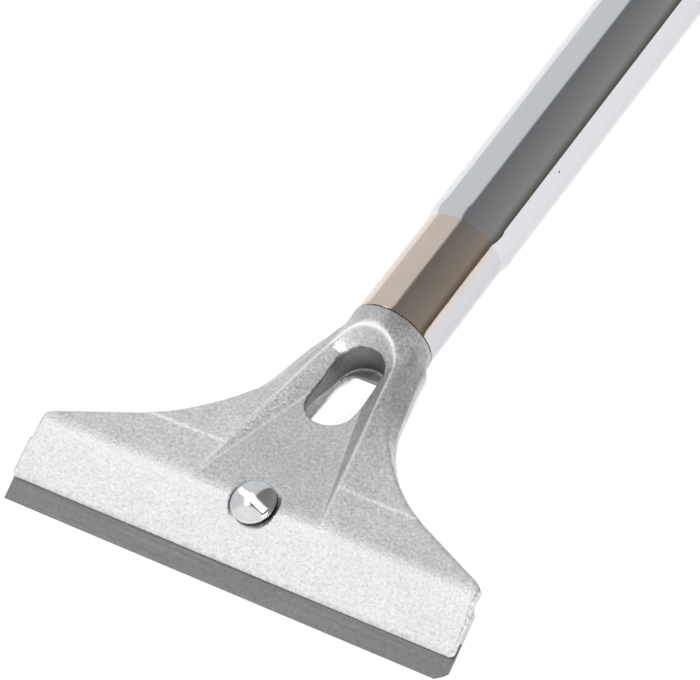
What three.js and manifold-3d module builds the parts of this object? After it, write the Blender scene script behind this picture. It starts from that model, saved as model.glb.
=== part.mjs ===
// Algae scraper: die-cast blade holder on a swaged, chrome-plated tube handle.
// Millimetres, +Z up. The tool lies face up: +X along the blade, +Y towards the grip end.
import * as THREE from 'three';
import { mergeVertices } from 'three/addons/utils/BufferGeometryUtils.js';
import Module from 'manifold-3d';

const wasm = await Module();
wasm.setup();

// ---- driving dimensions (mm, degrees) -------------------------------------
const HALF_WIDTH = 51.2;         // half width of the blade holder
const BAND_HEIGHT = 12.96;       // flat jaw, lower edge to crease
const BAND_TILT = 25.6;          // jaw plane against the handle axis
const SCREW_TILT = 12.8;         // screw axis, half way between jaw and wing
const AXIS_DEPTH = 3.82;         // handle axis behind the crease
const BAND_THICK = 1.9;
const SEAT_DEPTH = 1.0;          // metal in front of the blade
const SEAT_TOP = 7.06;           // height of the blade channel
const BEVEL = 1.15;              // lower bevel of the jaw
const WING_THICK = 2.0;
const BLADE_HALF = 51.0;
const BLADE_TOP = 3.3;
const BLADE_EDGE = -4.55;
const BLADE_THICK = 0.7;
const PLATE_THICK = 1.5;
const PLATE_HALF = 50.3;
const COLLAR_R = 9.1;
const COLLAR_END = 47.1;
const SPIGOT_R = 7.5;
const SPIGOT_END = 78;
const SWAGE_R = 8.98;
const SWAGE_END = 73.2;
const SWAGE_LENGTH = 3.8;
const TUBE_R = 9.525;            // 3/4 in tube
const TUBE_WALL = 1.2;
const TUBE_END = 268;
const GRIP_R = 13.4;
const GRIP_START = 170;
const TOOL_END = 288;            // 305 mm overall
const HANG_HOLE_Y = 279.5;
const HANG_HOLE_R = 3;
const SLOT_HALF = 5.4;
const SLOT_Y = [20.9, 40.3];
const SLOT_BACK_HALF = 5.0;
const SLOT_BACK_Y = [21.6, 37.5];
const LEDGE_Z = -3.0;            // step inside the slot
const PARTING_Z = 1.6;           // widest level of the neck
const HEAD_BALL = 6.8;           // radius of the screw head's dome
const HEAD_TOP = 2.25;
const GAP = 0.2;
const ORIGIN = [0, 135.54, -GRIP_R];

const RAD = Math.PI / 180;
const SIN = Math.sin(BAND_TILT * RAD);
const COS = Math.cos(BAND_TILT * RAD);
const CREASE = [-AXIS_DEPTH * SIN, AXIS_DEPTH * COS];

// ---- small helpers ---------------------------------------------------------
// jaw coordinates (height up the jaw, depth out of its face) to tool Y, Z
function jaw(v, n) {
  const a = v - BAND_HEIGHT;
  const b = n + AXIS_DEPTH;
  return [a * COS - b * SIN, a * SIN + b * COS];
}

function polygon(points) {
  return new THREE.Shape(points.map((p) => new THREE.Vector2(p[0], p[1])));
}

function solid(geometry) {
  const g = geometry.clone();
  g.deleteAttribute('normal');
  g.deleteAttribute('uv');
  const m = mergeVertices(g, 1e-4);
  return new wasm.Manifold(new wasm.Mesh({
    numProp: 3,
    vertProperties: new Float32Array(m.attributes.position.array),
    triVerts: new Uint32Array(m.index.array),
  }));
}

function geometryOf(body) {
  const mesh = body.getMesh();
  const g = new THREE.BufferGeometry();
  g.setAttribute('position', new THREE.BufferAttribute(new Float32Array(mesh.vertProperties), 3));
  g.setIndex(new THREE.BufferAttribute(new Uint32Array(mesh.triVerts), 1));
  return g;
}

// extrude a Y-Z outline from x0 to x1
function alongX(points, x0, x1) {
  const g = new THREE.ExtrudeGeometry(polygon(points), { depth: x1 - x0, bevelEnabled: false });
  const basis = new THREE.Matrix4().makeBasis(
    new THREE.Vector3(0, 1, 0), new THREE.Vector3(0, 0, 1), new THREE.Vector3(1, 0, 0));
  g.applyMatrix4(basis);
  g.translate(x0, 0, 0);
  return g;
}

// extrude an X-Y outline from z0 to z1
function alongZ(shape, z0, z1, curveSegments = 16) {
  const g = new THREE.ExtrudeGeometry(shape, { depth: z1 - z0, bevelEnabled: false, curveSegments });
  g.translate(0, 0, z0);
  return g;
}

function turned(profile, segments = 72) {
  return new THREE.LatheGeometry(profile.map((p) => new THREE.Vector2(p[0], p[1])), segments);
}

// move a shape from the screw's own axes (z out of the face) to the tool
function onScrewAxis(g, x = 0) {
  const t = SCREW_TILT * RAD;
  const m = new THREE.Matrix4().makeBasis(
    new THREE.Vector3(1, 0, 0),
    new THREE.Vector3(0, Math.cos(t), Math.sin(t)),
    new THREE.Vector3(0, -Math.sin(t), Math.cos(t)));
  m.setPosition(x, CREASE[0], CREASE[1]);
  g.applyMatrix4(m);
  return g;
}

function rod(radius, z0, z1, segments = 40) {
  const g = new THREE.CylinderGeometry(radius, radius, z1 - z0, segments);
  g.rotateX(Math.PI / 2);
  g.translate(0, 0, (z0 + z1) / 2);
  return g;
}

function block(x, y, z0, z1, cx = 0, cy = 0) {
  const g = new THREE.BoxGeometry(x, y, z1 - z0);
  g.translate(cx, cy, (z0 + z1) / 2);
  return g;
}

function obround(half, y0, y1) {
  const s = new THREE.Shape();
  s.moveTo(-half, y0 + half);
  s.absarc(0, y0 + half, half, Math.PI, 2 * Math.PI, false);
  s.absarc(0, y1 - half, half, 0, Math.PI, false);
  return s;
}

// skin a row of equal-length X-Z rings placed along Y
function skin(rings) {
  const n = rings[0].points.length;
  const positions = [];
  const index = [];
  rings.forEach((r) => r.points.forEach((p) => positions.push(p[0], r.y, p[1])));
  for (let i = 0; i + 1 < rings.length; i += 1) {
    for (let j = 0; j < n; j += 1) {
      const a = i * n + j;
      const b = i * n + ((j + 1) % n);
      index.push(a, a + n, b, b, a + n, b + n);
    }
  }
  const last = (rings.length - 1) * n;
  for (let j = 1; j + 1 < n; j += 1) {
    index.push(0, j, j + 1);
    index.push(last, last + j + 1, last + j);
  }
  const g = new THREE.BufferGeometry();
  g.setAttribute('position', new THREE.Float32BufferAttribute(positions, 3));
  g.setIndex(index);
  return g;
}

// ---- blade holder ----------------------------------------------------------
// plan of a wing: straight shoulder, one fillet, then the side of the neck
const SHOULDER = [49.6, 0.5];    // where the shoulder starts, half width and distance
const SHOULDER_FALL = 2.3;       // half width lost per mm along the handle
const WING_CORNER = [13.1, 16.4];
const WING_FALL = 0.2;
const WING_FILLET = 43;
// neck under the wings
const NECK_START = 9.6;
const NECK_ROUND = 46.5;         // from here the neck is as round as the collar
const NECK_HALF = 16.6;
const NECK_FALL = 0.25;
// pocket in the front of the neck: straight sides, then a round end
const FOOT_HALF = 14.3;          // floor and rim half widths where the handle axis starts
const FOOT_FALL = 0.32;
const RIM_HALF = 14.5;
const RIM_FALL = 0.19;
const POCKET_START = -1;
const POCKET_ROUND = 36.5;
const POCKET_END = 42.7;
// hollow cored from the back
const RECESS_START = 11.5;
const RECESS_END = 41.3;
const RECESS_HALF = 9.8;

// 0 up to a, 1 from b on, smooth between
function ease(a, b, y) {
  const t = Math.min(1, Math.max(0, (y - a) / (b - a)));
  return t * t * (3 - 2 * t);
}

function spaced(from, to, steps) {
  return Array.from({ length: steps + 1 }, (_, i) => from + ((to - from) * i) / steps);
}

// points of the arc that rounds a corner between two straight lines
function filletPoints(corner, before, after, radius, steps) {
  const p = new THREE.Vector2(...corner);
  const a = new THREE.Vector2(...before).sub(p).normalize();
  const b = new THREE.Vector2(...after).sub(p).normalize();
  const half = Math.acos(a.dot(b)) / 2;
  const centre = a.clone().add(b).normalize().multiplyScalar(radius / Math.sin(half)).add(p);
  const start = a.clone().multiplyScalar(radius / Math.tan(half)).add(p).sub(centre);
  const turn = Math.sign(start.cross(b)) * (Math.PI - 2 * half);
  return spaced(0, turn, steps).map((t) => {
    const q = start.clone().rotateAround(new THREE.Vector2(), t).add(centre);
    return [q.x, q.y];
  });
}

function holderPlan() {
  const neckEnd = [WING_CORNER[0] - WING_FALL * 24, WING_CORNER[1] + 24];
  const side = [SHOULDER, ...filletPoints(WING_CORNER, SHOULDER, neckEnd, WING_FILLET, 12), neckEnd];
  const front = [[HALF_WIDTH, -16], [HALF_WIDTH, -12], [HALF_WIDTH - 0.25, -2.4], [51.0, -1.2]];
  const right = [...front, ...side];
  const left = right.map(([x, y]) => [-x, y]).reverse();
  return polygon([...right, ...left]);
}

function sheetSection() {
  const back = CREASE[1] - WING_THICK;
  const bend = BAND_HEIGHT - BAND_THICK * Math.tan(SCREW_TILT * RAD);
  return [
    jaw(0, 0), jaw(-BEVEL, -SEAT_DEPTH), jaw(SEAT_TOP, -SEAT_DEPTH), jaw(SEAT_TOP, -BAND_THICK),
    jaw(bend, -BAND_THICK), [CREASE[0] + 0.45, back], [40, back], [40, CREASE[1]], CREASE,
  ];
}

function neckRings() {
  return spaced(NECK_START, NECK_ROUND, 12).map((y) => {
    const left = 1 - Math.min(1, (y - NECK_START) / (42 - NECK_START));
    const bottom = 10.4 * left ** 2.5 - COLLAR_R;
    const top = Math.min(COLLAR_R, 3.4 + 0.12 * (y - NECK_START) + 1.3 * ease(28, 40, y));
    const taper = NECK_HALF + 5.1 - NECK_FALL * y - ease(42, NECK_ROUND, y);
    const half = Math.min(NECK_HALF, taper);
    const parting = PARTING_Z * Math.min(1, (NECK_ROUND - y) / 10);
    const belly = y > 43 ? 1 : 0.9;
    const shoulder = y > 43 ? 1 : 1.15;
    const points = spaced(0, 2 * Math.PI, 64).slice(0, 64).map((a) => {
      const c = Math.cos(a);
      const s = Math.sin(a);
      const tall = s > 0 ? top - parting : parting - bottom;
      const power = s > 0 ? shoulder : belly;
      return [
        half * Math.sign(c) * Math.abs(c) ** power,
        parting + tall * Math.sign(s) * Math.abs(s) ** power,
      ];
    });
    return { y, points };
  });
}

function pocketRings() {
  const straight = spaced(POCKET_START, POCKET_ROUND, 8);
  const round = spaced(POCKET_ROUND, POCKET_END - 0.1, 6).slice(1);
  return [...straight, ...round].map((y) => {
    const t = Math.max(0, (y - POCKET_ROUND) / (POCKET_END - POCKET_ROUND));
    const narrow = Math.sqrt(1 - t * t);
    const foot = narrow * Math.max(SLOT_HALF + 0.1, FOOT_HALF - FOOT_FALL * y);
    const rim = Math.max(foot + 0.1, narrow * (RIM_HALF - RIM_FALL * y));
    const low = 3.4 - 0.9 * ease(2, 28, y) + 0.6 * ease(28, 36.5, y) + 4.6 * t ** 4;
    const high = 3.6 + 0.046 * y + 3.2 * t;
    return {
      y,
      points: [[foot, low], [rim, high], [rim + 2, 14], [-rim - 2, 14], [-rim, high], [-foot, low]],
    };
  });
}

function recessRings() {
  return spaced(RECESS_START, RECESS_END, 8).map((y) => {
    const half = Math.min(RECESS_HALF, 14.2 - 0.195 * y);
    const roof = 1.1 - 5.3 * ease(19, 41, y);
    return {
      y,
      points: [[half, -14], [half - 0.6, roof - 0.8], [half - 1.4, roof], [1.4 - half, roof],
        [0.6 - half, roof - 0.8], [-half, -14]],
    };
  });
}

function collar() {
  return turned([[0, 38], [COLLAR_R, 40], [COLLAR_R, COLLAR_END], [SPIGOT_R, COLLAR_END],
    [SPIGOT_R, SPIGOT_END - 1], [SPIGOT_R - 1, SPIGOT_END], [0, SPIGOT_END]]);
}

function headCasting() {
  const sheet = solid(alongX(sheetSection(), -60, 60));
  let body = sheet.intersect(solid(alongZ(holderPlan(), -20, 20)));
  body = body.add(solid(skin(neckRings()))).add(solid(collar()));
  body = body.subtract(solid(skin(pocketRings())));
  body = body.subtract(solid(skin(recessRings())));
  body = body.subtract(solid(alongZ(obround(SLOT_HALF, SLOT_Y[0], SLOT_Y[1]), LEDGE_Z, 12)));
  body = body.subtract(solid(alongZ(obround(SLOT_BACK_HALF, SLOT_BACK_Y[0], SLOT_BACK_Y[1]), -12, 12)));
  for (const x of [-34, 34]) {
    body = body.add(solid(onScrewAxis(rod(1.6, -7, -1.2, 24), x)));
  }
  body = body.subtract(solid(onScrewAxis(rod(5.2, -1.1, 4))));
  body = body.subtract(solid(onScrewAxis(rod(2.8, -6, 4))));
  body = body.subtract(solid(rollPinBody(1.65, 12)));
  return geometryOf(body);
}

// ---- clamp, blade and fasteners --------------------------------------------
function scraperBlade() {
  const front = -SEAT_DEPTH - GAP;
  const back = front - BLADE_THICK;
  const section = [jaw(BLADE_TOP, front), jaw(BLADE_EDGE, front), jaw(BLADE_EDGE, front - 0.15),
    jaw(BLADE_EDGE + 1.1, back), jaw(BLADE_TOP, back)];
  const body = solid(alongX(section, -BLADE_HALF, BLADE_HALF));
  const y0 = jaw(BLADE_EDGE, front)[0];
  const clip = polygon([[BLADE_HALF - 2.2, y0 - 1], [BLADE_HALF - 2.2, y0], [BLADE_HALF, y0 + 2],
    [BLADE_HALF + 1, y0 + 2], [BLADE_HALF + 1, y0 - 1]]);
  return geometryOf(body.subtract(solid(alongZ(clip, -20, 20))));
}

function plateSection() {
  const front = -BAND_THICK - GAP;
  const back = front - PLATE_THICK;
  const top = CREASE[1] - WING_THICK - GAP;
  const low = top - PLATE_THICK;
  const bend = Math.tan(SCREW_TILT * RAD);
  return [jaw(-1.0, front), jaw(-0.6, back), jaw(BAND_HEIGHT + back * bend, back), [9, low],
    [9.2, low + 0.4], [9.2, top], jaw(BAND_HEIGHT + front * bend, front)];
}

function clampPlate() {
  let body = solid(alongX(plateSection(), -PLATE_HALF, PLATE_HALF));
  body = body.add(solid(onScrewAxis(block(13, 9.6, -4.9, -3.7))));
  body = body.add(solid(onScrewAxis(block(2, 9.6, -7.0, -4.5, 5.5))));
  body = body.add(solid(onScrewAxis(block(2, 9.6, -7.0, -4.5, -5.5))));
  body = body.subtract(solid(onScrewAxis(rod(2.8, -9, 0))));
  for (const x of [-34, 34]) {
    body = body.subtract(solid(onScrewAxis(rod(1.9, -9, 0, 24), x)));
  }
  const plan = new THREE.Shape();
  plan.moveTo(-PLATE_HALF, -20);
  plan.lineTo(PLATE_HALF, -20);
  plan.lineTo(PLATE_HALF, -3.5);
  plan.lineTo(25, 10);
  plan.lineTo(-25, 10);
  plan.lineTo(-PLATE_HALF, -3.5);
  return geometryOf(body.intersect(solid(alongZ(plan, -20, 20))));
}

function clampScrew() {
  const dome = spaced(4.6, 0, 6).map((r) => [r, Math.sqrt(HEAD_BALL ** 2 - r * r) - HEAD_BALL + HEAD_TOP]);
  const profile = [[0, -11], [2.1, -11], [2.45, -10.6], [2.45, 0.1], [4.75, 0.1], ...dome];
  const g = turned(profile, 56);
  g.rotateX(Math.PI / 2);
  const slot = new THREE.BoxGeometry(14, 1.3, 3);
  slot.translate(0, 0, 2.45);
  slot.rotateZ(-17 * RAD);
  return geometryOf(solid(onScrewAxis(g)).subtract(solid(onScrewAxis(slot))));
}

function lockWasher() {
  const ring = new THREE.Shape();
  ring.absarc(0, 0, 4.6, 0, 2 * Math.PI, false);
  const hole = new THREE.Path();
  hole.absarc(0, 0, 2.65, 0, 2 * Math.PI, true);
  ring.holes.push(hole);
  const washer = solid(alongZ(ring, -1.05, 0.0, 28));
  const split = block(4, 0.6, -2, 2, 4);
  split.rotateZ(65 * RAD);
  return geometryOf(solid(onScrewAxis(geometryOf(washer.subtract(solid(split))))));
}

function squareNut() {
  const nut = solid(block(8, 8, -8.0, -5.1)).subtract(solid(rod(2.55, -10, 0)));
  return onScrewAxis(geometryOf(nut));
}

// ---- handle ----------------------------------------------------------------
function rollPinBody(radius, length) {
  const g = new THREE.CylinderGeometry(radius, radius, length, 28);
  g.rotateX(Math.PI / 2);
  g.translate(0, 60, -length / 2);
  return g;
}

function handleTube() {
  const inner = TUBE_R - TUBE_WALL;
  const neckIn = SPIGOT_R + GAP;
  const start = COLLAR_END + GAP;
  const flare = spaced(0, SWAGE_LENGTH, 6).map((d) => [
    SWAGE_R + (TUBE_R - SWAGE_R) * ease(0, SWAGE_LENGTH, d), SWAGE_END + d]);
  const profile = [[neckIn, start], [SWAGE_R, start], ...flare, [TUBE_R, TUBE_END], [inner, TUBE_END],
    [inner, SWAGE_END + 5.5], [neckIn, SWAGE_END + 3.5], [neckIn, start]];
  return geometryOf(solid(turned(profile, 96)).subtract(solid(rollPinBody(1.65, 12))));
}

function tubePin() {
  const g = new THREE.CylinderGeometry(1.5, 1.5, 8, 28);
  g.rotateX(Math.PI / 2);
  g.translate(0, 60, -5.1);
  return g;
}

function tubePlug() {
  const r = TUBE_R - TUBE_WALL - GAP;
  return turned([[0, TUBE_END - 10], [r - 0.8, TUBE_END - 10], [r, TUBE_END - 8.5], [r, TUBE_END + GAP],
    [TUBE_R, TUBE_END + GAP], [TUBE_R, TUBE_END + 1.4], [0, TUBE_END + 1.4]], 64);
}

function gripSleeve() {
  const bore = TUBE_R + GAP;
  const outer = [[bore, GRIP_START], [bore + 1.6, GRIP_START], [12.2, GRIP_START + 1.4],
    [12.9, GRIP_START + 4], [GRIP_R, GRIP_START + 9]];
  for (let k = 0; k < 7; k += 1) {
    const y = GRIP_START + 20 + k * 10;
    outer.push([GRIP_R, y], [GRIP_R - 0.7, y + 0.9], [GRIP_R - 0.7, y + 2.1], [GRIP_R, y + 3]);
  }
  const tail = spaced(0, Math.PI / 2, 6).map((a) => [
    GRIP_R - 5.8 * (1 - Math.cos(a)), TOOL_END - 9 * (1 - Math.sin(a))]);
  tail.push([0, TOOL_END]);
  const bottom = [[0, TUBE_END + 1.7], [bore, TUBE_END + 1.7]];
  const body = solid(turned([...bottom, ...outer, ...tail], 64));
  const hole = new THREE.CylinderGeometry(HANG_HOLE_R, HANG_HOLE_R, 40, 32);
  hole.rotateX(Math.PI / 2);
  hole.translate(0, HANG_HOLE_Y, 0);
  return geometryOf(body.subtract(solid(hole)));
}

// ---- assembly --------------------------------------------------------------
const scraper = new THREE.Group();
scraper.name = 'algae_scraper';

function piece(name, geometry, color, metalness, roughness) {
  const g = geometry.clone();
  g.translate(-ORIGIN[0], -ORIGIN[1], -ORIGIN[2]);
  g.computeVertexNormals();
  const material = new THREE.MeshStandardMaterial({ color, metalness, roughness });
  const mesh = new THREE.Mesh(g, material);
  mesh.name = name;
  scraper.add(mesh);
}

piece('head_casting', headCasting(), 0xc9cbce, 0.8, 0.5);
piece('scraper_blade', scraperBlade(), 0x8b8d8f, 0.9, 0.35);
piece('clamp_plate', clampPlate(), 0xaeb0b3, 0.9, 0.4);
piece('clamp_screw', clampScrew(), 0xc4c6c8, 1.0, 0.25);
piece('lock_washer', lockWasher(), 0x5f6164, 1.0, 0.35);
piece('square_nut', squareNut(), 0xb4b6b8, 1.0, 0.35);
piece('handle_tube', handleTube(), 0xe0e2e5, 1.0, 0.08);
piece('tube_pin', tubePin(), 0x9a9c9e, 1.0, 0.3);
piece('tube_plug', tubePlug(), 0x2b2c2e, 0.0, 0.6);
piece('grip_sleeve', gripSleeve(), 0x2f3134, 0.0, 0.7);

export default scraper;
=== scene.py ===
import math
import bpy
import numpy as np
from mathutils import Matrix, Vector


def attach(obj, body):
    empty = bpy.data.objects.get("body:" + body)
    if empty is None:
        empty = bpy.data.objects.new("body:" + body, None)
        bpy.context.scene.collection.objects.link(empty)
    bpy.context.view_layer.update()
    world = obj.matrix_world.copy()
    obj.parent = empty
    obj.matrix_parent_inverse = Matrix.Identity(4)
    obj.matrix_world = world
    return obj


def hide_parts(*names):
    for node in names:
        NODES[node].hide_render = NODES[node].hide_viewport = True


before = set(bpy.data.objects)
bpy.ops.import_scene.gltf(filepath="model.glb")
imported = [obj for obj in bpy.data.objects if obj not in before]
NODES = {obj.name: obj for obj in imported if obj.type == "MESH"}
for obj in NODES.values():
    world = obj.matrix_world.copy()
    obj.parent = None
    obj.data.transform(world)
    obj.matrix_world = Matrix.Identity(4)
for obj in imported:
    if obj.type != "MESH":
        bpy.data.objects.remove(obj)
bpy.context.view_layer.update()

MM = 0.001
ORIGIN = np.array([0.0, 135.54, -13.4])      # part origin in the tool's own axes, mm

# ---- dimensions of the tool, mm, on the handle's axis (x blade, y handle, z up)
TILT = math.radians(25.6)
SCREW_TILT = math.radians(12.8)
SIN, COS = math.sin(TILT), math.cos(TILT)
BAND = 12.96                     # flat jaw, lower edge to crease
BAND_THICK, WING_THICK = 1.9, 2.0
HALF_WIDTH = 51.2
SEAT_TOP, SEAT_DEPTH = 7.06, 1.0     # channel behind the jaw that takes the blade
BEVEL = 1.15                     # along the jaw's lower edge
PEG_X, PEG_R = 34.0, 1.6
SEAT_R, HOLE_R = 5.1, 2.8        # screw's seat and clearance hole
SPIGOT_R, SPIGOT_END = 7.5, 78.0
CREASE_Y, CREASE_Z = -3.82 * SIN, 3.82 * COS
COLLAR_R, COLLAR_END = 9.1, 47.1
SWAGE_R, SWAGE_END = 8.98, 73.2
TUBE_R, TUBE_END = 9.525, 268.0
SWAGE_LENGTH = 3.8
GRIP_R, GRIP_START, TOOL_END = 13.4, 170.0, 288.0
HANG_HOLE_Y, HANG_HOLE_R = 279.5, 3.0
RIB_GROOVES, RIB_PITCH = 7, 10.0
HEAD_R, HEAD_BALL, HEAD_TOP = 4.78, 6.8, 2.25
PITCH = 0.8

scene = bpy.context.scene


# ---- camera ----------------------------------------------------------------
def add_camera():
    data = bpy.data.cameras.new("camera")
    data.sensor_width = 36.0
    data.lens = 226.1
    data.shift_x = -0.0146
    data.shift_y = -0.0041
    data.clip_end = 20.0
    data.dof.use_dof = False
    camera = bpy.data.objects.new("camera", data)
    camera.location = (0.38896, -0.51559, 0.65153)
    camera.rotation_euler = (math.radians(41.447), math.radians(9.114), math.radians(32.76))
    scene.collection.objects.link(camera)
    scene.camera = camera


add_camera()


# ---- mesh helpers ----------------------------------------------------------
def link(name, mesh, body, material):
    obj = bpy.data.objects.new(name, mesh)
    scene.collection.objects.link(obj)
    mesh.materials.append(material)
    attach(obj, body)
    return obj


def smooth(mesh, angle=35.0):
    mesh.polygons.foreach_set("use_smooth", [True] * len(mesh.polygons))
    mesh.set_sharp_from_angle(angle=math.radians(angle))


def mesh_from(name, points_mm, faces, angle=35.0):
    mesh = bpy.data.meshes.new(name)
    verts = (np.asarray(points_mm, dtype=float) - ORIGIN) * MM
    mesh.from_pydata(verts.tolist(), [], faces)
    mesh.validate()
    smooth(mesh, angle)
    return mesh


def surface_nets(field, corner, step):
    """Quads on the zero level of a sampled field, one vertex in each crossed cell."""
    inside = field < 0
    nx, ny, nz = field.shape
    shape = (nx - 1, ny - 1, nz - 1)
    total = np.zeros(shape + (3,), dtype=np.float64)
    count = np.zeros(shape, dtype=np.float64)
    for axis in range(3):
        lo = [slice(None)] * 3
        hi = [slice(None)] * 3
        lo[axis] = slice(0, -1)
        hi[axis] = slice(1, None)
        a, b = field[tuple(lo)], field[tuple(hi)]
        crossed = inside[tuple(lo)] != inside[tuple(hi)]
        t = np.where(crossed, a / np.where(crossed, a - b, 1.0), 0.0)
        for u in (0, 1):
            for w in (0, 1):
                others = [k for k in range(3) if k != axis]
                cut = [slice(None)] * 3
                cut[others[0]] = slice(0, -1) if u == 0 else slice(1, None)
                cut[others[1]] = slice(0, -1) if w == 0 else slice(1, None)
                hit = crossed[tuple(cut)]
                count += hit
                total[..., axis] += np.where(hit, t[tuple(cut)], 0.0)
                total[..., others[0]] += hit * float(u)
                total[..., others[1]] += hit * float(w)
    active = count > 0
    index = np.full(shape, -1, dtype=np.int64)
    index[active] = np.arange(active.sum())
    cells = np.argwhere(active)
    verts = corner + step * (cells + total[active] / count[active][:, None])
    faces = []
    for axis in range(3):
        lo = [slice(1, -1)] * 3
        hi = [slice(1, -1)] * 3
        lo[axis] = slice(0, -1)
        hi[axis] = slice(1, None)
        a, b = inside[tuple(lo)], inside[tuple(hi)]
        offset = np.ones(3, dtype=int)
        offset[axis] = 0
        p, q = [k for k in range(3) if k != axis]
        for mask, flip in ((a & ~b, axis == 1), (~a & b, axis != 1)):
            at = np.argwhere(mask) + offset
            quad = []
            for du, dw in ((-1, -1), (0, -1), (0, 0), (-1, 0)):
                c = at.copy()
                c[:, p] += du
                c[:, q] += dw
                quad.append(index[c[:, 0], c[:, 1], c[:, 2]])
            quad = np.stack(quad, 1)
            faces.append(quad[:, ::-1] if flip else quad)
    return verts, np.concatenate(faces)


def grid(lo, hi, step):
    axes = [np.arange(lo[k], hi[k] + step, step) for k in range(3)]
    x = axes[0][:, None, None]
    y = axes[1][None, :, None]
    z = axes[2][None, None, :]
    return x, y, z, np.array([a[0] for a in axes])


def smax(a, b, k):
    h = np.clip(0.5 + 0.5 * (a - b) / k, 0.0, 1.0)
    return b + (a - b) * h + k * h * (1.0 - h)


def smin(a, b, k):
    return -smax(-a, -b, k)


def step01(a, b, y):
    t = np.clip((y - a) / (b - a), 0.0, 1.0)
    return t * t * (3 - 2 * t)


def screw_axes(x, y, z):
    """Coordinates on the screw's axis: sideways, up the face, out of the face."""
    s, c = math.sin(SCREW_TILT), math.cos(SCREW_TILT)
    dy, dz = y - CREASE_Y, z - CREASE_Z
    return x, dy * c + dz * s, -dy * s + dz * c


# ---- materials -------------------------------------------------------------
class Nodes:
    def __init__(self, name):
        self.material = bpy.data.materials.new(name)
        self.material.use_nodes = True
        self.tree = self.material.node_tree
        self.bsdf = self.tree.nodes["Principled BSDF"]
        self.coords = self.tree.nodes.new("ShaderNodeTexCoord").outputs["Object"]

    def add(self, kind, **values):
        node = self.tree.nodes.new(kind)
        for key, value in values.items():
            setattr(node, key, value)
        return node

    def join(self, a, b):
        self.tree.links.new(a, b)

    def scaled(self, scale):
        m = self.add("ShaderNodeMapping")
        m.inputs["Scale"].default_value = scale
        self.join(self.coords, m.inputs["Vector"])
        return m.outputs["Vector"]

    def noise(self, scale, detail=4.0, rough=0.55, vector=None):
        n = self.add("ShaderNodeTexNoise")
        n.inputs["Scale"].default_value = scale
        n.inputs["Detail"].default_value = detail
        n.inputs["Roughness"].default_value = rough
        self.join(vector or self.coords, n.inputs["Vector"])
        return n.outputs["Fac"]

    def spots(self, scale, vector=None):
        n = self.add("ShaderNodeTexVoronoi")
        n.inputs["Scale"].default_value = scale
        self.join(vector or self.coords, n.inputs["Vector"])
        return n.outputs["Distance"]

    def remap(self, value, a, b, c, d):
        n = self.add("ShaderNodeMapRange")
        for key, v in (("From Min", a), ("From Max", b), ("To Min", c), ("To Max", d)):
            n.inputs[key].default_value = v
        self.join(value, n.inputs["Value"])
        return n.outputs["Result"]

    def colours(self, value, stops):
        n = self.add("ShaderNodeValToRGB")
        ramp_ = n.color_ramp
        while len(ramp_.elements) < len(stops):
            ramp_.elements.new(0.5)
        for element, (pos, rgb) in zip(ramp_.elements, stops):
            element.position = pos
            element.color = (*rgb, 1.0)
        self.join(value, n.inputs["Fac"])
        return n.outputs["Color"]

    def times(self, a, b):
        n = self.add("ShaderNodeMix", data_type="RGBA", blend_type="MULTIPLY")
        n.inputs["Factor"].default_value = 1.0
        self.join(a, n.inputs["A"])
        self.join(b, n.inputs["B"])
        return n.outputs["Result"]

    def attribute(self, name):
        return self.add("ShaderNodeAttribute", attribute_name=name).outputs["Fac"]

    def mixed(self, amount, a, b):
        n = self.add("ShaderNodeMix", data_type="RGBA")
        self.join(amount, n.inputs["Factor"])
        self.join(a, n.inputs["A"])
        n.inputs["B"].default_value = (*b, 1.0)
        return n.outputs["Result"]

    def bump(self, height, strength, distance, normal=None):
        n = self.add("ShaderNodeBump")
        n.inputs["Strength"].default_value = strength
        n.inputs["Distance"].default_value = distance
        self.join(height, n.inputs["Height"])
        if normal is not None:
            self.join(normal, n.inputs["Normal"])
        return n.outputs["Normal"]

    def set(self, **values):
        for key, value in values.items():
            socket = self.bsdf.inputs[key.replace("_", " ")]
            if hasattr(value, "is_linked"):
                self.join(value, socket)
            else:
                socket.default_value = value
        return self.material


def cast_aluminium():
    n = Nodes("cast_aluminium")
    grain = n.noise(1500.0, 3.0, 0.65)
    patch = n.noise(140.0, 4.0, 0.6)
    fleck = n.spots(2300.0)
    tone = n.colours(patch, [(0.3, (0.86, 0.865, 0.872)), (0.7, (0.94, 0.945, 0.95))])
    speck = n.colours(grain, [(0.32, (0.66, 0.66, 0.66)), (0.68, (1.0, 1.0, 1.0))])
    # painted light and shade stored on the mesh tint the casting's colour
    painted_light_and_shade = n.colours(n.attribute("shade"), [(0.0, (0.0, 0.0, 0.0)), (1.0, (1.0, 1.0, 1.0))])
    tone = n.times(n.times(tone, speck), painted_light_and_shade)
    # painted highlights whiten thin lines along the pocket's crest and foot
    tone = n.mixed(n.attribute("rub_marks_and_painted_highlight"), tone, (0.98, 0.98, 0.98))
    rough = n.remap(grain, 0.3, 0.7, 0.36, 0.54)
    coarse = n.bump(patch, 0.06, 0.0005)
    fine = n.bump(grain, 0.7, 0.00016, coarse)
    sparkle = n.bump(fleck, 0.3, 0.00009, fine)
    return n.set(Base_Color=tone, Metallic=0.72, Roughness=rough, Normal=sparkle)


def chrome(name="chrome_plate"):
    n = Nodes(name)
    haze = n.noise(60.0, 3.0)
    pits = n.spots(150.0)
    pit_mask = n.remap(pits, 0.035, 0.05, 0.0, 1.0)
    tone = n.colours(pit_mask, [(0.0, (0.10, 0.10, 0.10)), (1.0, (0.66, 0.67, 0.69))])
    rough = n.remap(haze, 0.3, 0.7, 0.02, 0.045)
    wave = n.bump(haze, 0.06, 0.0002)
    return n.set(Base_Color=tone, Metallic=1.0, Roughness=rough, Normal=wave)


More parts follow.
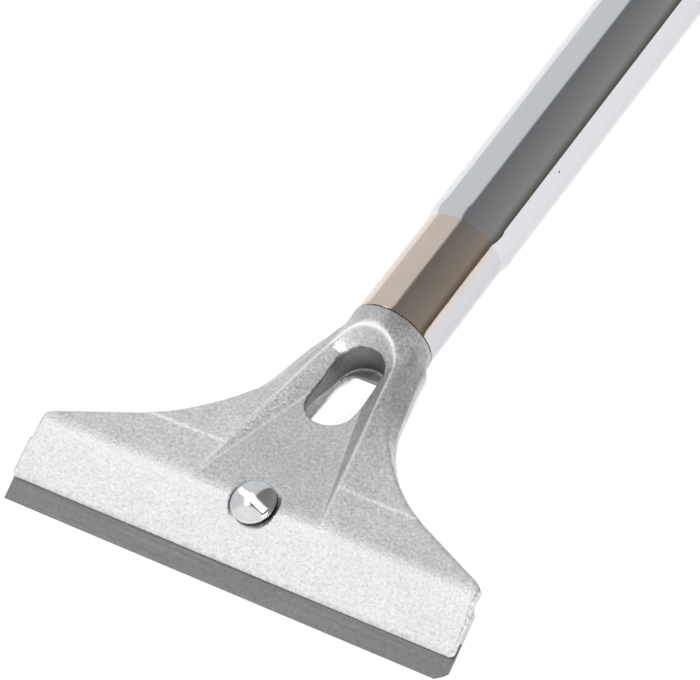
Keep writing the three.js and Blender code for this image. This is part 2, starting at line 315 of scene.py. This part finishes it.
def thin_chrome():
    """Thinner plate on the reduced end, tinted warm; the side turned to +x and down, which reflects the
    floor, is tinted neutral instead.
    """
    n = Nodes("thin_plate")
    haze = n.noise(90.0, 4.0)
    lines = n.noise(55.0, 3.0, 0.6, n.scaled((30.0, 1.0, 30.0)))
    warm = n.colours(haze, [(0.3, (0.64, 0.545, 0.465)), (0.7, (0.70, 0.605, 0.53))])
    dot = n.add("ShaderNodeVectorMath", operation="DOT_PRODUCT")
    n.join(n.coords, dot.inputs[0])
    dot.inputs[1].default_value = (0.85, 0.0, -0.526)
    round_tube = n.remap(dot.outputs["Value"], -0.0026, -0.0012, 0.0, 1.0)
    # neutral tint on the side that reflects the floor, warm tint elsewhere
    tone = n.mixed(round_tube, warm, (0.60, 0.605, 0.64))
    rough = n.remap(lines, 0.3, 0.7, 0.05, 0.10)
    wave = n.bump(lines, 0.08, 0.0001)
    return n.set(Base_Color=tone, Metallic=1.0, Roughness=rough, Normal=wave)


def ground_steel():
    n = Nodes("ground_steel")
    streak = n.noise(40.0, 5.0, 0.65, n.scaled((1.0, 40.0, 40.0)))
    grain = n.noise(1500.0, 2.0)
    tone = n.colours(streak, [(0.3, (0.15, 0.152, 0.152)), (0.7, (0.20, 0.202, 0.20))])
    rough = n.remap(grain, 0.3, 0.7, 0.38, 0.5)
    rub_marks_and_painted_highlight = n.bump(streak, 0.08, 0.00008)
    return n.set(Base_Color=tone, Metallic=0.9, Roughness=rough, Normal=rub_marks_and_painted_highlight)


def zinc(name, low, high, rough_a, rough_b, metallic=1.0):
    n = Nodes(name)
    patch = n.noise(420.0, 4.0, 0.6)
    grain = n.noise(2500.0, 2.0)
    tone = n.colours(patch, [(0.3, low), (0.7, high)])
    rough = n.remap(patch, 0.3, 0.7, rough_a, rough_b)
    fine = n.bump(grain, 0.08, 0.00003)
    return n.set(Base_Color=tone, Metallic=metallic, Roughness=rough, Normal=fine)


def plastic(name, low, high, rough_a, rough_b):
    n = Nodes(name)
    patch = n.noise(90.0, 5.0, 0.6)
    grain = n.noise(1800.0, 3.0, 0.6)
    tone = n.colours(patch, [(0.3, low), (0.7, high)])
    rough = n.remap(grain, 0.3, 0.7, rough_a, rough_b)
    fine = n.bump(grain, 0.25, 0.00008)
    return n.set(Base_Color=tone, Metallic=0.0, Roughness=rough, Normal=fine)


CAST = cast_aluminium()
CHROME = chrome()
THIN = thin_chrome()
STEEL = ground_steel()
PLATED = zinc("zinc_plate", (0.50, 0.505, 0.52), (0.60, 0.605, 0.61), 0.24, 0.36)
BRIGHT = zinc("bright_zinc", (0.66, 0.67, 0.68), (0.76, 0.77, 0.77), 0.10, 0.18)
SPRING = zinc("spring_steel", (0.05, 0.05, 0.055), (0.11, 0.11, 0.115), 0.3, 0.45)
PIN = zinc("plain_steel", (0.30, 0.30, 0.31), (0.38, 0.38, 0.39), 0.25, 0.4)
GRIP = plastic("grip_rubber", (0.012, 0.013, 0.015), (0.022, 0.024, 0.027), 0.5, 0.7)
PLUG = plastic("plug_plastic", (0.02, 0.02, 0.022), (0.03, 0.03, 0.033), 0.45, 0.6)


# ---- blade holder ----------------------------------------------------------
# plan: straight shoulder, one fillet, then the side of the neck, which runs into the collar
SHOULDER, SHOULDER_Y, SHOULDER_FALL = 49.6, 0.5, 2.3
SIDE, SIDE_FALL = 21.7, 0.25     # half width of the neck on the handle axis, and its taper
SIDE_FILLET = 31.0
# pocket: half widths where the handle axis starts, and how fast they narrow
FOOT_HALF, FOOT_FALL = 14.3, 0.32
RIM_HALF, RIM_FALL = 14.5, 0.19
SLOT_HALF = 5.4
SLOT_NEAR, SLOT_FAR = 26.3, 34.9     # centres of the slot's round ends
LEDGE_Z = -3.0
PARTING_Z = 1.6
POCKET_END = 36.5                # where the sides of the pocket turn into its round end
POCKET_FAR = 42.7
END_STRETCH = (RIM_HALF - RIM_FALL * POCKET_END) / (POCKET_FAR - POCKET_END)
TOP_A, TOP_B = 9.6, 8.5          # half axes of the neck's rounded top


def outline(y):
    """Half width at the parting line: two straight lines joined by an arc."""
    fall = math.hypot(1.0, SHOULDER_FALL)
    side = math.hypot(1.0, SIDE_FALL)
    rise = SHOULDER + SHOULDER_FALL * SHOULDER_Y + SIDE_FILLET * fall
    flat = SIDE + SIDE_FILLET * side
    centre_y = (rise - flat) / (SHOULDER_FALL - SIDE_FALL)
    centre_x = flat - SIDE_FALL * centre_y
    from_y = centre_y - SIDE_FILLET * SHOULDER_FALL / fall
    to_y = centre_y - SIDE_FILLET * SIDE_FALL / side
    shoulder = np.minimum(SHOULDER - SHOULDER_FALL * (y - SHOULDER_Y), 51.3)
    arc = centre_x - np.sqrt(np.maximum(SIDE_FILLET ** 2 - (y - centre_y) ** 2, 0.0))
    neck = SIDE - SIDE_FALL * y
    neck = neck + (COLLAR_R - neck) * step01(41.5, COLLAR_END + 0.8, y)
    return np.where(y < from_y, shoulder, np.where(y < to_y, arc, neck))


def edge_inset(y):
    """How far the neck's wall leans in between the parting line and its top edge."""
    return 3.7 * step01(12, 34, y) - 1.7 * step01(39, 47.1, y)


def edge_z(y):
    return CREASE_Z + 1.6 * step01(18, 43, y)


def underside(y):
    left = 1 - np.clip((y - 9.6) / 32.4, 0.0, 1.0)
    return 10.5 * left ** 2.5 - COLLAR_R


def recess_roof(y):
    return 1.2 - 5.3 * step01(19, 41, y)


def foot_half(y):
    return smax(FOOT_HALF - FOOT_FALL * y, SLOT_HALF + 0.1 + 0 * y, 1.0) - step01(POCKET_END, 40, y)


def rim_half(y):
    return RIM_HALF - RIM_FALL * np.minimum(y, POCKET_END)


def rim_z(y):
    return 3.6 + 0.046 * np.minimum(y, POCKET_END)


def floor_z(y):
    return 3.4 - 0.9 * step01(2, 28, y) + 0.6 * step01(28, POCKET_END, y)


def half_width(y, z, under):
    """Half width of the neck: a sloped wall above the parting line, a round belly below it."""
    parting = PARTING_Z * (1 - step01(36, 47, y))
    width = outline(y)
    above = np.maximum(z - parting, 0.0) / (edge_z(y) - parting)
    below = np.clip((parting - z) / np.maximum(parting - under, 0.5), 0.0, 1.0)
    belly = 1 - 0.9 * (1 - np.sqrt(1 - below ** 2)) * step01(10, 20, y)
    return (width - edge_inset(y) * above) * belly


def front_surface(x, y):
    """Height of the wings and of the neck's face, which climbs to a crest beside the pocket."""
    edge = outline(y) - edge_inset(y)
    crest = rim_half(y)
    limit = np.minimum(edge, crest + 8.5)
    base = edge_z(y)
    t = np.maximum(limit - np.abs(x), 0.0) / np.maximum(limit - crest, 0.5)
    wing = base + (rim_z(y) - base) * np.where(t < 1, t ** 1.5, 1 + 0.2 * (t - 1))
    blend = step01(40, 47, y)
    a = TOP_A + (COLLAR_R - TOP_A) * blend
    b = TOP_B + (COLLAR_R - TOP_B) * blend
    top = b * np.sqrt(np.maximum(1 - (x / a) ** 2, 0.0))
    top = np.maximum(top, base)
    t = step01(33, 38, y)
    return wing * (1 - t) + top * t


def pocket_radius(x, y):
    past = np.maximum(y - POCKET_END, 0.0) * END_STRETCH
    return np.sqrt(x * x + past * past)


def pocket_surface(x, y):
    r = pocket_radius(x, y)
    foot = foot_half(y)
    crest = rim_half(y)
    floor = floor_z(y)
    side = crest * np.abs(x) / np.maximum(r, 0.5) / TOP_A
    end = TOP_B * np.sqrt(np.maximum(1 - side ** 2, 0.0))
    top = np.where(y > POCKET_END, end, rim_z(y))
    t = np.maximum(r - foot, 0.0) / np.maximum(crest - foot, 0.35)
    return floor + (top - floor) * t ** 1.1


def slot_distance(x, y):
    low = np.maximum(SLOT_NEAR - y, 0.0)
    past = np.maximum(y - SLOT_FAR, 0.0)
    return np.sqrt(x * x + past * past + low * low) - SLOT_HALF


def holder_field(lo, hi, step):
    x, y, z, corner = grid(lo, hi, step)
    ax = np.abs(x)
    dy, dz = y - CREASE_Y, z - CREASE_Z
    v = dy * COS + dz * SIN + BAND
    n = -dy * SIN + dz * COS

    under = underside(y)
    half = half_width(y, z, under)
    slope = np.gradient(outline(y)[0, :, 0], y[0, :, 0])[None, :, None]
    lean = edge_inset(y) / 1.9
    side = (ax - half) / np.sqrt(1 + np.minimum(slope * slope, 30.0) + lean * lean)
    end = ax - HALF_WIDTH + 0.02 * np.clip(v, 0, BAND)
    corner_r = 1.3
    qx = end + corner_r
    qv = -v + corner_r
    round_end = np.minimum(np.maximum(qx, qv), 0) + np.hypot(np.maximum(qx, 0), np.maximum(qv, 0)) - corner_r
    shoulder = smax(end, side, 2.6)
    plan = np.where(y < CREASE_Y - 4, end, shoulder)
    plan = smax(plan, np.where(v < 3, round_end, -10.0), 0.05)

    # jaw and wings
    face = front_surface(x, np.maximum(y, CREASE_Y))
    front = smax(n, z - face, 0.9)
    back = smin(-BAND_THICK - n, CREASE_Z - WING_THICK - z, 0.8)
    seat = -np.maximum(v - SEAT_TOP, n + SEAT_DEPTH)
    sheet = smax(smax(front, back, 0.5), seat, 0.15)
    bevel = (BEVEL * n - v) / math.hypot(1.0, BEVEL)
    sheet = smax(smax(sheet, -v - BEVEL, 0.2), bevel, 0.7)
    sheet = np.maximum(sheet, y - 22)
    sheet = smax(sheet, plan, 0.5)

    # neck and collar
    soft = 0.5 + 1.3 * step01(33, 41, y)
    neck = smax(smax((z - face) * 0.8, side, soft), under - z, 1.2)
    neck = np.maximum(neck, 8.6 - y)
    tube = (np.sqrt(x * x + z * z) - COLLAR_R) / np.sqrt(1 + lean * lean)
    t = step01(41.5, 47, y)
    neck = neck * (1 - t) + tube * t
    neck = smax(neck, y - COLLAR_END, 0.3)
    body = smin(sheet, neck, 0.5)

    # pocket, hollow cored from the back, slot with a ledge near its far end
    scoop = (pocket_surface(x, y) - z) * 0.6
    scoop = np.maximum(scoop, -(y + 1.3))
    body = smax(body, -scoop, 0.2 + 0.5 * step01(30, 38, y))
    hollow_half = np.maximum(np.minimum(half - 2.3, 11.5), 7.0 - 1.5 * step01(34, 41, y))
    hollow = np.maximum(ax - hollow_half, z - recess_roof(y))
    hollow = smax(smax(hollow, 11.5 - y, 1.5), y - 41.3, 1.5)
    body = smax(body, -hollow, 1.0)
    slot = np.maximum(slot_distance(x, y), LEDGE_Z - z)
    low = np.maximum(SLOT_NEAR - y, 0.0)
    past = np.maximum(y - SLOT_FAR, 0.0)
    slot_back = np.sqrt(np.maximum(ax - 2.4, 0.0) ** 2 + past * past) - 2.6
    slot_back = np.maximum(slot_back, np.sqrt(x * x + low * low) - SLOT_HALF)
    body = smax(body, -slot, 0.25)
    body = smax(body, -slot_back, 0.35)

    # screw seat and hole
    sx, sy, st = screw_axes(x, y, z)
    radial = np.sqrt(sx * sx + sy * sy)
    seat_cut = np.maximum(radial - SEAT_R, -1.05 - st)
    body = smax(body, -seat_cut, 0.2)
    hole = np.maximum(radial - HOLE_R, np.maximum(st - 4, -6 - st))
    body = smax(body, -hole, 0.15)

    # locating pegs and spigot
    for side_x in (-PEG_X, PEG_X):
        peg = np.sqrt((sx - side_x) ** 2 + sy * sy) - PEG_R
        peg = smax(np.maximum(peg, st + 1.0), -7.0 - st, 0.5)
        body = np.minimum(body, peg)
    spigot = smax(np.sqrt(x * x + z * z) - SPIGOT_R, y - SPIGOT_END, 1.0)
    spigot = np.maximum(spigot, 45 - y)
    body = np.minimum(body, spigot)
    return body, corner


def add_shade(mesh):
    """Stores painted light and shade for the casting: painted highlights along the pocket's crest and foot,
    painted light on the left-hand pocket wall, painted shade on the pocket floor, the right-hand wall, the
    collar, the neck's sides and the slot's deep inner faces.
    """
    co = np.empty(len(mesh.vertices) * 3)
    mesh.vertices.foreach_get("co", co)
    x, y, z = (co.reshape(-1, 3) / MM + ORIGIN).T
    r = pocket_radius(x, y)
    foot, crest = foot_half(y), rim_half(y)
    upper = step01(-1.0, 1.5, y) * (y < 46)
    # painted shade: the pocket floor is a little darker
    pocket = upper * step01(0.4, -0.4, -(crest - r)) * (z > floor_z(y) - 0.5)
    shade = 0.9 - 0.09 * pocket
    # painted light on the left-hand pocket wall, painted shade on the right-hand wall
    between = upper * step01(-0.1, 0.3, r - foot) * step01(-0.1, 0.3, crest - r) * (1 - step01(33, 40, y))
    shade = shade + between * np.where(x > 0, -0.26, 0.30)
    # painted shade on the collar outside the pocket's crest
    shade -= 0.24 * step01(38, 46, y) * (r > crest)
    # painted shade on the neck's sides beside the far end of the pocket
    wall = upper * (y > 26) * step01(0.2, 1.2, np.abs(x) - crest) * (z > 0)
    shade -= 0.16 * wall * step01(26, 32, y)
    # painted shade inside the slot, darker with depth, and a lighter painted band at the ledge
    inner = (slot_distance(x, y) < 0.30) * (z < floor_z(y) - 0.05 + 0.7 * step01(35, 39, y))
    depth = np.clip((floor_z(y) - z) / 5.5, 0.0, 1.0)
    shade = np.where(inner, 0.30 - 0.14 * depth, shade)
    shade = np.where(inner & (z < -2.6) & (z > -3.5), 0.45, shade)
    # painted highlights along the pocket's crest and foot lines, strong on the left side and faint on the
    # right
    line = np.exp(-((r - crest) / 0.34) ** 2) + 0.9 * np.exp(-((r - foot) / 0.26) ** 2) * (y < 27)
    line = line * step01(-1, 2, y) * (z > floor_z(y) - 0.4) * (y < 45)
    line = line * (0.12 + 0.88 * step01(5.5, -1.0, x * step01(44, 36, y)))
    # stores the painted light and shade
    layer = mesh.attributes.new("shade", "FLOAT", "POINT")
    layer.data.foreach_set("value", shade)
    # stores the painted highlights
    layer = mesh.attributes.new("rub_marks_and_painted_highlight", "FLOAT", "POINT")
    layer.data.foreach_set("value", np.clip(line, 0.0, 1.0))


def add_holder():
    step = 0.3
    lo, hi = (-52.2, -15.6, -10.0), (52.2, 79.0, 10.2)
    field, corner = holder_field(lo, hi, step)
    verts, faces = surface_nets(field, corner, step)
    mesh = mesh_from("holder", verts, faces.tolist(), 50.0)
    add_shade(mesh)
    obj = link("holder_casting", mesh, "tool", CAST)
    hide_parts("head_casting")
    return obj


add_holder()


# ---- screw, washer ---------------------------------------------------------
def from_screw_axes(points):
    """Screw coordinates (sideways, up, out) to tool coordinates."""
    s, c = math.sin(SCREW_TILT), math.cos(SCREW_TILT)
    p = np.asarray(points, dtype=float)
    return np.stack([p[:, 0], CREASE_Y + p[:, 1] * c - p[:, 2] * s, CREASE_Z + p[:, 1] * s + p[:, 2] * c], 1)


def add_screw():
    step = 0.12
    x, y, z, corner = grid((-5.2, -5.2, -11.4), (5.2, 5.2, 3.6), step)
    r = np.sqrt(x * x + y * y)
    ball = np.sqrt(r * r + (z + HEAD_BALL - HEAD_TOP) ** 2) - HEAD_BALL
    head = smax(smax(r - HEAD_R, ball, 0.6), 0.02 - z, 0.25)
    a = math.radians(-17.0)
    across = -x * math.sin(a) + y * math.cos(a)
    slot = np.maximum(np.abs(across) - 0.62, 0.95 - z)
    head = smax(head, -slot, 0.15)
    turn = np.arctan2(y, x) / (2 * math.pi)
    wave = np.abs(((z / PITCH - turn) % 1.0) - 0.5) * 2
    thread = r - 2.42 + 0.42 * wave * step01(-1.5, -2.5, z)
    shank = smax(thread, -11.0 - z, 0.5)
    shank = np.maximum(shank, z - 0.5)
    verts, faces = surface_nets(np.minimum(head, shank), corner, step)
    mesh = mesh_from("screw", from_screw_axes(verts), faces.tolist(), 40.0)
    obj = link("slotted_screw", mesh, "screw", BRIGHT)
    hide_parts("clamp_screw")


add_screw()


# ---- tube and grip ---------------------------------------------------------
def lathe(name, profile, segments, angle=35.0):
    """Turns (radius, y) points round the handle's axis; the profile closes on itself."""
    points = []
    for r, y in profile:
        for k in range(segments):
            a = 2 * math.pi * k / segments
            points.append((r * math.cos(a), y, r * math.sin(a)))
    faces = []
    rows = len(profile)
    for i in range(rows):
        j = (i + 1) % rows
        for k in range(segments):
            m = (k + 1) % segments
            faces.append((i * segments + k, i * segments + m, j * segments + m, j * segments + k))
    return mesh_from(name, points, faces, angle)


def swage(y):
    """Outer radius where the tube is reduced to fit the collar's diameter."""
    t = np.clip((y - SWAGE_END) / SWAGE_LENGTH, 0.0, 1.0)
    return SWAGE_R + (TUBE_R - SWAGE_R) * (t * t * (3 - 2 * t))


def add_tube():
    start = COLLAR_END + 0.12
    outer = [(SWAGE_R - 0.12, start), (SWAGE_R - 0.03, start + 0.03), (SWAGE_R, start + 0.12)]
    for y in np.linspace(start + 1.0, SWAGE_END - 0.3, 12):
        outer.append((SWAGE_R, float(y)))
    for y in np.linspace(SWAGE_END, SWAGE_END + SWAGE_LENGTH, 21):
        outer.append((float(swage(y)), float(y)))
    for y in np.linspace(SWAGE_END + 5, TUBE_END - 0.5, 30):
        outer.append((TUBE_R, float(y)))
    inner = [(TUBE_R - 0.3, TUBE_END), (8.33, TUBE_END), (8.33, SWAGE_END + 5.5), (7.7, SWAGE_END + 3.5),
             (7.7, start)]
    mesh = lathe("tube", outer + inner, 160, 50.0)
    mesh.materials.append(CHROME)
    obj = link("handle_tube_plated", mesh, "tool", THIN)
    limit = (SWAGE_END - ORIGIN[1]) * MM
    for poly in mesh.polygons:
        poly.material_index = 1 if poly.center.y < limit else 0
    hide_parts("handle_tube")


add_tube()


def grip_radius(y):
    """Radius of the ribbed grip at a distance along the handle, mm."""
    nose = 2.2 * (1 - step01(GRIP_START, GRIP_START + 9, y))
    tail = np.clip((y - (TOOL_END - 9)) / 9.0, 0.0, 1.0)
    ball = GRIP_R * np.sqrt(np.maximum(1 - (tail * 0.82) ** 3, 0.0))
    ribs = 0.0
    for k in range(RIB_GROOVES):
        c = GRIP_START + 21.5 + k * RIB_PITCH
        ribs = ribs + 0.7 * np.exp(-((y - c) / 0.9) ** 4)
    return np.minimum(ball, GRIP_R - nose - ribs)


def add_grip():
    step = 0.5
    x, y, z, corner = grid((-14.2, GRIP_START - 1, -14.2), (14.2, TOOL_END + 1, 14.2), step)
    r = np.sqrt(x * x + z * z)
    body = r - grip_radius(y)
    body = smax(body, y - TOOL_END, 1.2)
    body = smax(body, GRIP_START - y, 0.9)
    bore = np.maximum(r - 9.73, y - TUBE_END - 1.7)
    body = smax(body, -bore, 0.4)
    hole = np.sqrt(x * x + (y - HANG_HOLE_Y) ** 2) - HANG_HOLE_R
    body = smax(body, -hole, 0.9)
    verts, faces = surface_nets(body, corner, step)
    mesh = mesh_from("grip", verts, faces.tolist(), 60.0)
    obj = link("ribbed_grip", mesh, "tool", GRIP)
    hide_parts("grip_sleeve")


add_grip()


# ---- carried-over CAD nodes ------------------------------------------------
def finish_node(name, material, bevel=0.0):
    obj = NODES[name]
    obj.data.materials.clear()
    obj.data.materials.append(material)
    if bevel:
        m = obj.modifiers.new("edge", "BEVEL")
        m.width = bevel
        m.segments = 2
        m.limit_method = "ANGLE"
        m.angle_limit = math.radians(35)


finish_node("scraper_blade", STEEL, 0.00008)
finish_node("clamp_plate", PLATED, 0.0002)
finish_node("lock_washer", SPRING, 0.00008)
finish_node("square_nut", PLATED, 0.0002)
finish_node("tube_pin", PIN, 0.00015)
finish_node("tube_plug", PLUG, 0.0002)


# ---- studio ----------------------------------------------------------------
def add_floor():
    mesh = bpy.data.meshes.new("floor")
    s = 4.0
    mesh.from_pydata([(-s, -s, 0), (s, -s, 0), (s, s, 0), (-s, s, 0)], [], [(0, 1, 2, 3)])
    floor = bpy.data.objects.new("floor", mesh)
    scene.collection.objects.link(floor)
    n = Nodes("pale_floor")
    patch = n.noise(3.0, 3.0)
    tone = n.colours(patch, [(0.3, (0.44, 0.44, 0.44)), (0.7, (0.47, 0.47, 0.47))])
    n.set(Base_Color=tone, Roughness=0.9)
    n.bsdf.inputs["Specular IOR Level"].default_value = 0.1
    n.bsdf.inputs["Emission Color"].default_value = (1.0, 1.0, 1.0, 1.0)
    n.bsdf.inputs["Emission Strength"].default_value = 0.72
    mesh.materials.append(n.material)


def add_light(name, direction, distance, size, power, tint=(1, 1, 1)):
    data = bpy.data.lights.new(name, "AREA")
    data.shape = "RECTANGLE"
    data.size, data.size_y = size
    data.energy = power
    data.color = tint
    light = bpy.data.objects.new(name, data)
    aim = Vector((0.0, -0.12, 0.015))
    d = Vector(direction).normalized()
    light.location = aim + d * distance
    light.rotation_euler = d.to_track_quat("Z", "Y").to_euler()
    scene.collection.objects.link(light)
    return light


# one grey card stands beside the tool and runs along it; elevations in degrees, seen along the handle
CARD_LOW, CARD_HIGH, CARD_SOFT = 0.0, 102.0, 6.0
PALE = (0.78, 0.79, 0.81)
CARD_GREY = (0.33, 0.32, 0.31)
CARD_DARK = (0.20, 0.205, 0.21)
CARD_WARM = (0.10, 0.08, 0.06)


def add_world():
    world = bpy.data.worlds.new("studio")
    scene.world = world
    world.use_nodes = True
    tree = world.node_tree
    tree.nodes.clear()
    out = tree.nodes.new("ShaderNodeOutputWorld")
    back = tree.nodes.new("ShaderNodeBackground")
    coords = tree.nodes.new("ShaderNodeTexCoord")
    split = tree.nodes.new("ShaderNodeSeparateXYZ")
    tree.links.new(coords.outputs["Generated"], split.inputs["Vector"])
    angle = tree.nodes.new("ShaderNodeMath")
    angle.operation = "ARCTAN2"
    tree.links.new(split.outputs["Z"], angle.inputs[0])
    tree.links.new(split.outputs["X"], angle.inputs[1])
    turn = tree.nodes.new("ShaderNodeMapRange")
    turn.inputs["From Min"].default_value = -math.pi
    turn.inputs["From Max"].default_value = math.pi
    tree.links.new(angle.outputs[0], turn.inputs["Value"])
    card = tree.nodes.new("ShaderNodeValToRGB")
    low, high, soft = (0.5 + a / 360 for a in (CARD_LOW, CARD_HIGH, CARD_HIGH + CARD_SOFT))
    stops = [(low - 0.002, PALE), (low, CARD_WARM), (low + 0.06, CARD_GREY), (high, CARD_DARK), (soft, PALE)]
    while len(card.color_ramp.elements) < len(stops):
        card.color_ramp.elements.new(0.5)
    for element, (pos, rgb) in zip(card.color_ramp.elements, stops):
        element.position = pos
        element.color = (*rgb, 1.0)
    tree.links.new(turn.outputs["Result"], card.inputs["Fac"])
    side = tree.nodes.new("ShaderNodeMapRange")
    side.inputs["From Min"].default_value = -0.42
    side.inputs["From Max"].default_value = -0.32
    tree.links.new(split.outputs["Y"], side.inputs["Value"])
    mix = tree.nodes.new("ShaderNodeMix")
    mix.data_type = "RGBA"
    mix.inputs["A"].default_value = (1.0, 1.0, 1.0, 1.0)
    tree.links.new(side.outputs["Result"], mix.inputs["Factor"])
    tree.links.new(card.outputs["Color"], mix.inputs["B"])
    tree.links.new(mix.outputs["Result"], back.inputs["Color"])
    back.inputs["Strength"].default_value = 1.0
    tree.links.new(back.outputs["Background"], out.inputs["Surface"])


add_floor()
add_world()
add_light("key", (0.78, -0.40, 0.50), 1.1, (0.35, 0.30), 4.5)
add_light("fill", (-0.47, -0.12, 0.87), 1.3, (0.6, 0.4), 2.7)

scene.view_settings.view_transform = "Standard"
scene.view_settings.look = "None"
scene.view_settings.exposure = 0.0
